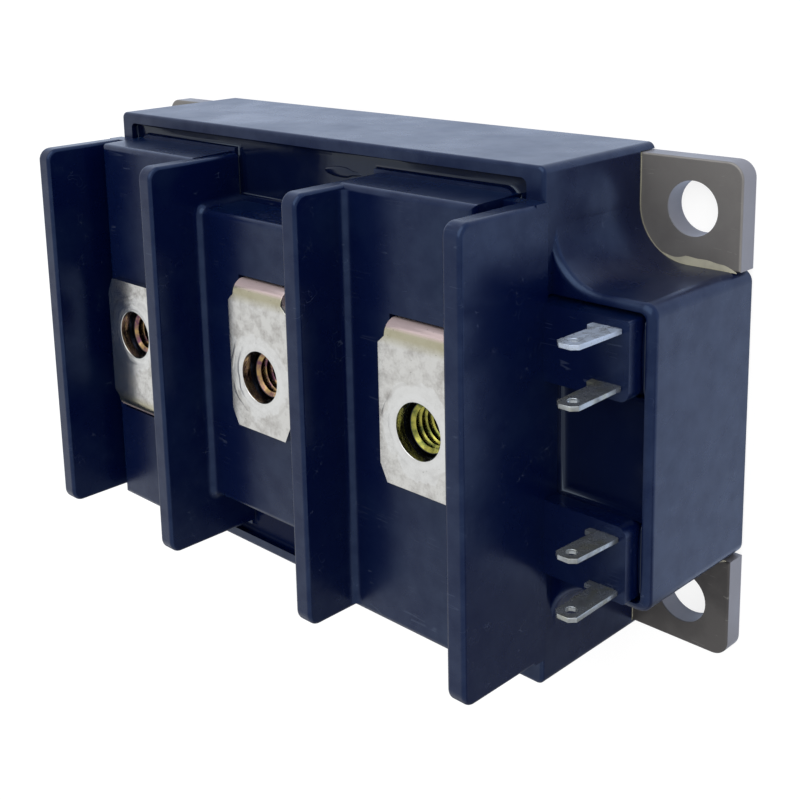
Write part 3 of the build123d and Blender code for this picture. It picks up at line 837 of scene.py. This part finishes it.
@dataclass(frozen=True)
class SignalTabs(SubAssembly):
    """The four blades, which lean a little out of line."""

    leans: tuple[float, ...] = (0.4, -1.2, 2.2, -1.2)
    root_level: float = 22.0
    bend_level: float = 22.5
    edge_mm: float = 0.07

    def build(self) -> None:
        """Models the blades."""
        for number, lean in enumerate(self.leans, start=1):
            blade = SoftenedNode(f"signal_tab_{number}", BLADE, "silver_tab", self.edge_mm, segments=2)
            piece = blade.copy()
            corners = [Vector(corner) for corner in piece.bound_box]
            middle = sum(corners, Vector()) / len(corners)
            centre = (middle.x, middle.y, self.root_level * MM)
            with editing(piece, "VERT", lambda vertex: vertex.co.z > self.bend_level * MM):
                bpy.ops.transform.rotate(value=radians(lean), orient_axis="X", center_override=centre)
            blade.place(piece)


@dataclass(frozen=True)
class ThreadedNuts(SubAssembly):
    """The three hexagon nuts, each with a countersunk mouth and a real thread."""

    pitch_mm: float = 28.0
    top: float = 28.0
    height: float = 5.0
    across_flats: float = 10.0
    corner_bevel: float = 0.3
    bevel_from_degrees: float = 50.0
    bore_radius: float = 2.98
    mouth_radius: float = 3.42
    mouth_depth: float = 0.95
    cutter_spare: float = 1.0
    thread_pitch: float = 1.0
    ridge_tip_radius: float = 2.48
    ridge_root: float = 0.1
    ridge_half_base: float = 0.43
    ridge_half_tip: float = 0.07
    ridge_start: float = 0.05
    steps_per_turn: int = 48

    def body(self, name: str, x: float) -> Piece:
        """Models the hexagon with its bore.

        Args:
            name: The object's name.
            x: The nut's place along the module, in millimetres.

        Returns:
            The nut without its thread.
        """
        half_side = radians(30.0)
        corner = self.across_flats / 2.0 / cos(half_side)
        middle = metres(x, 0.0, self.top - self.height / 2.0)
        nut = started(name, bpy.ops.mesh.primitive_cylinder_add, vertices=6, radius=corner * MM,
                      depth=self.height * MM, location=middle, rotation=(0.0, 0.0, half_side))
        apply_modifier(nut, "BEVEL", width=self.corner_bevel * MM, segments=2, limit_method="ANGLE",
                       angle_limit=radians(self.bevel_from_degrees))
        cutter = started("bore_cutter", bpy.ops.mesh.primitive_cylinder_add, vertices=self.steps_per_turn,
                         radius=self.bore_radius * MM, depth=(self.height + 2.0 * self.cutter_spare) * MM,
                         location=middle)
        level = (self.top - self.mouth_depth) * MM
        with editing(cutter, "FACE", lambda face: abs(face.normal.z) < 1.0 - UPWARDS):
            bpy.ops.mesh.bisect(plane_co=(0.0, 0.0, level), plane_no=(0.0, 0.0, 1.0))
        grow = self.mouth_radius / self.bore_radius
        grow = 1.0 + (grow - 1.0) * (self.cutter_spare + self.mouth_depth) / self.mouth_depth
        with editing(cutter, "VERT", lambda vertex: vertex.co.z > level + NEAR_MM * MM):
            bpy.ops.transform.resize(value=(grow, grow, 1.0), center_override=(x * MM, 0.0, level))
        apply_modifier(nut, "BOOLEAN", operation="DIFFERENCE", object=cutter, solver="EXACT")
        bpy.data.objects.remove(cutter, do_unlink=True)
        return nut

    def ridge(self, x: float) -> Piece:
        """Models the thread's ridge as a helix with closed ends.

        Args:
            x: The nut's place along the module, in millimetres.

        Returns:
            The ridge.
        """
        turns = int((self.height - self.mouth_depth) / self.thread_pitch)
        low = self.top - self.height + self.ridge_half_base + self.ridge_start
        depth = self.bore_radius - self.ridge_tip_radius + self.ridge_root
        radius = self.ridge_tip_radius + depth / 2.0
        shrink = self.ridge_half_tip / self.ridge_half_base
        ridge = started("ridge", bpy.ops.mesh.primitive_plane_add, size=1.0, rotation=(pi / 2.0, 0.0, 0.0))
        with editing(ridge):
            bpy.ops.transform.resize(value=(depth * MM, 1.0, 2.0 * self.ridge_half_base * MM))
            bpy.ops.transform.translate(value=metres(radius, 0.0, 0.0))
        with editing(ridge, "VERT", lambda vertex: vertex.co.x < radius * MM):
            bpy.ops.transform.resize(value=(1.0, 1.0, shrink), center_override=metres(radius, 0.0, 0.0))
            bpy.ops.mesh.select_all(action="SELECT")
            bpy.ops.mesh.delete(type="ONLY_FACE")
        apply_modifier(ridge, "SCREW", angle=2.0 * pi, screw_offset=self.thread_pitch * MM, iterations=turns,
                       steps=self.steps_per_turn, render_steps=self.steps_per_turn, axis="Z")
        with editing(ridge):
            bpy.ops.mesh.remove_doubles(threshold=WELD_MM * MM)
            bpy.ops.mesh.fill_holes(sides=4)
            bpy.ops.transform.translate(value=metres(x, 0.0, low))
        return ridge

    def build(self) -> None:
        """Models the nuts."""
        finishes = {"left": COPPERY_CHROMATE, "middle": COPPERY_CHROMATE, "right": GREEN_CHROMATE}
        for index, (name, finish) in enumerate(finishes.items(), start=-1):
            x = index * self.pitch_mm
            nut = self.body("threaded_nut_" + name, x)
            ridge = self.ridge(x)
            pick_alone(nut)
            ridge.select_set(True)
            bpy.ops.object.join()
            settle(nut)
            hand_over(nut, finish)
            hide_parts("nut_" + name)
            LOG.info("nut_%s: thread with a pitch of %.1f mm", name, self.thread_pitch)


@dataclass(frozen=True)
class ResinDrop(SubAssembly):
    """A drop of resin: a stretched ball whose far side along one axis is shaped once more."""

    name: str
    place: Point
    half_size: Point
    axis: int
    far_side: float
    far_stretch: Point
    far_pivot: Point
    segments: int
    rings: int

    def build(self) -> None:
        """Models the drop."""
        drop = started(self.name, bpy.ops.mesh.primitive_uv_sphere_add, segments=self.segments,
                       ring_count=self.rings, radius=MM)
        with editing(drop):
            bpy.ops.transform.resize(value=self.half_size)
        with editing(drop, "VERT", lambda vertex: vertex.co[self.axis] > self.far_side * MM):
            bpy.ops.transform.resize(value=self.far_stretch, center_override=metres(*self.far_pivot))
            bpy.ops.mesh.select_all(action="SELECT")
            bpy.ops.transform.translate(value=metres(*self.place))
        settle(drop, SOFT_DEGREES)
        hand_over(drop, RESIN)
        LOG.info("%s: a drop %.1f mm long", self.name, 2.0 * max(self.half_size))


@dataclass(frozen=True)
class SpiltResin(ResinDrop):
    """A small flat drop that was spilt on the potting beside the middle plateau."""

    name: str = "spilt_resin"
    place: Point = (6.8, 26.4, 20.2)
    half_size: Point = (3.0, 0.72, 0.26)
    axis: int = 0
    far_side: float = 1.5
    far_stretch: Point = (1.25, 0.6, 0.8)
    far_pivot: Point = (0.0, 0.0, 0.0)
    segments: int = 32
    rings: int = 12


@dataclass(frozen=True)
class ChannelDrop(ResinDrop):
    """Resin drawn up between a signal pad and the block's wall, with a flattened top."""

    half_size: Point = (0.42, 4.5, 1.25)
    axis: int = 2
    far_side: float = 0.75
    far_stretch: Point = (1.0, 1.0, 0.25)
    far_pivot: Point = (0.0, 0.0, 0.75)
    segments: int = 24
    rings: int = 16


@dataclass(frozen=True)
class PottingSurface(SubAssembly):
    """The resin's open surfaces, which climb the walls round them in hollow roundings."""

    level: float = 20.2
    recess_level: float = 18.6
    climb: float = 0.5
    recess_climb: float = 0.95
    cove_steps: int = 8
    body: float = 0.6
    skin: float = 0.03
    cavity_x: float = 37.25
    cavity_y: float = 29.2
    deck_x: float = 35.7
    deck_y: float = 27.65
    deck_corner: float = 2.0
    corner_steps: int = 8
    notch_x: float = 13.45
    notch_y: float = 21.2
    hidden_y: float = 25.0
    recess_start: float = 40.2
    recess_end: float = 51.75
    pad_inner: float = 7.0
    pad_outer: float = 15.85
    pad_end: float = 51.1
    drop_rise: float = 0.35

    def groove_outline(self, side: int) -> list[Place]:
        """The groove along one long side, with the notch beside the middle plateau.

        Args:
            side: 1 for the +Y side and -1 for the other.

        Returns:
            The outline's corners.
        """
        radius = self.deck_corner
        middle_x, middle_y = self.deck_x - radius, self.deck_y - radius
        turns = [radians(90.0 * index / self.corner_steps) for index in range(self.corner_steps + 1)]
        corner = [(middle_x + radius * cos(a), middle_y + radius * sin(a)) for a in turns]
        half = [(self.cavity_x, self.cavity_y), (self.cavity_x, self.hidden_y), (self.deck_x, self.hidden_y),
                *corner, (self.notch_x, self.deck_y), (self.notch_x, self.notch_y)]
        outline = half + [(-x, y) for x, y in reversed(half)]
        return [(x, side * y) for x, y in outline]

    def pool(self, name: str, outline: list[Place], level: float, climb: float, finish: Finish) -> None:
        """Models one open surface of resin.

        Args:
            name: The object's name.
            outline: Its outline, in millimetres.
            level: The level of its flat middle, in millimetres.
            climb: How far it climbs its walls, in millimetres.
            finish: The resin's finish.
        """
        high = level + self.skin + climb
        piece = traced_plate(name, outline, level - self.body, high)
        hollow_cove(piece, high, climb, self.cove_steps)
        settle(piece, SOFT_DEGREES)
        hand_over(piece, finish)
        LOG.info("%s: resin climbs its walls by %.2f mm", name, climb)

    def build(self) -> None:
        """Models the open surfaces, and the resin drawn up beside each pad."""
        x = (self.pad_end + self.recess_end) / 2.0
        y = (self.pad_inner + self.pad_outer) / 2.0
        # the -Y groove takes the resin with painted light, a brighter base
        for side, name, finish in ((1, "rear", RESIN), (-1, "front", DULL_RESIN_PAINTED_LIGHT)):
            self.pool("groove_resin_" + name, self.groove_outline(side), self.level, self.climb, finish)
            ChannelDrop("channel_drop_" + name, (x, side * y, self.recess_level + self.drop_rise)).build()
        recess = [(self.recess_start, -self.pad_inner), (self.recess_end, -self.pad_inner),
                  (self.recess_end, self.pad_inner), (self.recess_start, self.pad_inner)]
        self.pool("recess_resin", recess, self.recess_level, self.recess_climb, RESIN)


@dataclass(frozen=True)
class SqueezedGlue(SubAssembly):
    """The thin film of glue that was pressed out on the ears round the frame's foot."""

    case_end: float = 39.65
    block_side: float = 17.4
    cutout_radius: float = 6.4
    ear_end: float = 52.3
    ear_side: float = 29.4
    plate_top: float = 3.0
    film: float = 0.07
    sunk: float = 0.02
    tucked_in: float = 0.05
    thin: float = 0.02
    wide: float = 0.85
    swell_from: float = 0.55
    swell_over: float = 0.15
    fade_over: float = 0.08
    waves: tuple[Point, ...] = ((0.10, 19.0, 1.0), (0.06, 47.0, 2.0))
    calm: float = 0.1
    steps: int = 40
    ears: tuple[tuple[str, int, int, float], ...] = (
        ("rear_right", 1, 1, 0.0), ("front_right", 1, -1, 1.7), ("rear_left", -1, 1, 2.9),
        ("front_left", -1, -1, 4.1))

    def edge(self, grow: Callable[[float], float]) -> list[Place]:
        """A line round the frame's foot on the +X +Y ear.

        Args:
            grow: How far the line keeps from the foot, by its share of the way.

        Returns:
            The line's points.
        """
        centre = (self.case_end + self.cutout_radius, self.block_side + self.cutout_radius)
        line = []
        straight = self.ear_side - centre[1]
        bend = self.cutout_radius * pi / 2.0
        total = straight + bend + self.ear_end - centre[0]
        for index in range(self.steps + 1):
            share = index / self.steps
            way = share * total
            off = grow(share)
            if way < straight:
                line.append((self.case_end + off, self.ear_side - way))
            elif way < straight + bend:
                angle = pi + (way - straight) / self.cutout_radius
                radius = self.cutout_radius - off
                line.append((centre[0] + radius * cos(angle), centre[1] + radius * sin(angle)))
            else:
                line.append((centre[0] + way - straight - bend, self.block_side + off))
        return line

    def width(self, share: float, phase: float) -> float:
        """How wide the film is at a place along the foot.

        Args:
            share: The share of the way.
            phase: Where its waves begin, so that no two ears are alike.

        Returns:
            The width in millimetres.
        """
        swell = max(0.0, min(1.0, (share - self.swell_from) / self.swell_over))
        swell *= max(0.0, min(1.0, (1.0 - share) / self.fade_over))
        waves = sum(size * sin(rate * share + shift * phase) for size, rate, shift in self.waves)
        return self.thin + swell * (self.wide - self.thin) + waves * (self.calm + swell)

    def build(self) -> None:
        """Models the film on each ear."""
        inner = self.edge(lambda share: -self.tucked_in)
        for name, side_x, side_y, phase in self.ears:
            outer = self.edge(lambda share: self.width(share, phase))
            outline = [(side_x * x, side_y * y) for x, y in inner + outer[::-1]]
            film = traced_plate("glue_film_" + name, outline, self.plate_top - self.sunk,
                                self.plate_top + self.film)
            settle(film, SOFT_DEGREES)
            hand_over(film, GLUE_FILM)
            LOG.info("glue_film_%s: up to %.1f mm wide", name, self.wide)


# Studio


@dataclass(frozen=True)
class Softbox:
    """A square lamp that points at the module."""

    name: str
    place: Point
    size: float
    power: float
    mirrored: bool

    def hang(self, target: Vector) -> None:
        """Adds the lamp.

        Args:
            target: The point that it faces.
        """
        data = bpy.data.lights.new(self.name, "AREA")
        data.size = self.size
        data.energy = self.power
        lamp = bpy.data.objects.new(self.name, data)
        lamp.visible_glossy = self.mirrored
        bpy.context.scene.collection.objects.link(lamp)
        lamp.location = self.place
        lamp.rotation_euler = (target - Vector(self.place)).to_track_quat("-Z", "Y").to_euler()


@dataclass(frozen=True)
class Studio:
    """White floor, white surroundings, soft lamps and the photograph's camera."""

    camera_place: Point = (0.122047, 0.054398, 0.128367)
    camera_turn_degrees: Point = (-13.6125, 45.6660, -2.1767)
    lens_mm: float = 57.354
    sensor_mm: float = 36.0
    nearest: float = 0.005
    shift: Place = (0.05, -0.23)
    ambient: float = 0.8
    floor_size: float = 6.0
    floor_gap_mm: float = 0.02
    floor_colour: Colour = (0.9, 0.9, 0.9)
    floor_roughness: float = 0.9
    shadow_share: float = 0.25
    floor_white: float = 1.08
    # painted reflection: the floor's cool tint and its levels as seen in reflections
    painted_reflection_tint: Colour = (0.65, 0.77, 1.0)
    painted_reflection_levels: Span = (1.35, 0.07)
    painted_reflection_dark_mm: Span = (-25.0, -34.0)
    lamps: tuple[Softbox, ...] = (
        Softbox("lamp_above", (0.1, 0.55, 0.45), size=0.9, power=5.0, mirrored=True),
        Softbox("lamp_front", (0.6, -0.1, 0.5), size=0.9, power=2.0, mirrored=False),
    )

    def set_camera(self) -> None:
        """Adds the camera."""
        data = bpy.data.cameras.new("camera")
        data.lens = self.lens_mm
        data.sensor_width = self.sensor_mm
        data.shift_x, data.shift_y = self.shift
        data.clip_start = self.nearest
        camera = bpy.data.objects.new("camera", data)
        bpy.context.scene.collection.objects.link(camera)
        camera.location = self.camera_place
        camera.rotation_euler = Euler([radians(a) for a in self.camera_turn_degrees])
        bpy.context.scene.camera = camera

    def set_world(self) -> None:
        """White surroundings, at a plain level for the light that they give."""
        world = bpy.data.worlds.new("surroundings")
        bpy.context.scene.world = world
        world.use_nodes = True
        g = Graph(world.node_tree)
        level = g.ramp(g.seen_directly(), 0.0, 1.0, self.ambient, 1.0)
        g.feed(g.tree.nodes["Background"], {"Color": WHITE, "Strength": level})

    def glow(self, r: Recipe) -> Socket:
        """The floor's own light, a painted reflection. Mirrored, it is cool, brighter than white, and dark in
        front of the module, as in the photograph.

        Args:
            r: The floor's node graph.

        Returns:
            The emission's socket.
        """
        mirrored = r.add("ShaderNodeLightPath").outputs["Is Glossy Ray"]
        # painted reflection: in reflections the floor glows at up to 1.35, falling to 0.07 in front of the
        # module
        painted_reflection_fall = r.ramp(r.axis("Y"), *self.painted_reflection_dark_mm, *self.painted_reflection_levels)
        strength = r.add("ShaderNodeMix", {0: mirrored, 2: self.floor_white, 3: painted_reflection_fall}).outputs[0]
        tint = r.blend(mirrored, WHITE, self.painted_reflection_tint)
        return r.add("ShaderNodeEmission", {"Color": tint, "Strength": strength}).outputs[0]

    def lay_floor(self) -> None:
        """A white floor that keeps part of the module's shadow."""
        floor = started("floor", bpy.ops.mesh.primitive_plane_add, size=self.floor_size,
                        location=metres(0.0, 0.0, -self.floor_gap_mm))
        r = Recipe("floor")
        r.feed(r.shader, {"Base Color": self.floor_colour, "Roughness": self.floor_roughness})
        share = r.maths("MULTIPLY", r.seen_directly(), 1.0 - self.shadow_share)
        mix = r.add("ShaderNodeMixShader", {0: share, 1: r.shader.outputs[0], 2: self.glow(r)})
        r.feed(r.tree.nodes["Material Output"], {"Surface": mix.outputs[0]})
        floor.data.materials.append(r.material)

    def build(self) -> None:
        """Sets up the whole studio."""
        bpy.context.scene.view_settings.view_transform = "Standard"
        self.set_camera()
        self.set_world()
        self.lay_floor()
        target = (Vector(CAD_BOUNDS[0]) + Vector(CAD_BOUNDS[1])) / 2.0
        for lamp in self.lamps:
            lamp.hang(target)


def main() -> None:
    """Builds the module's pieces in order, then the studio."""
    logging.basicConfig(level=logging.INFO, format="%(name)s: %(message)s")
    CarriedOver().dress()
    LOG.info("dressed the carried-over nodes")
    for kind in (PowerTerminals, SignalTabs, ThreadedNuts, PottingSurface, SpiltResin, SqueezedGlue):
        kind().build()
    Studio().build()
    LOG.info("set up the studio")


if __name__ == "__main__":
    main()
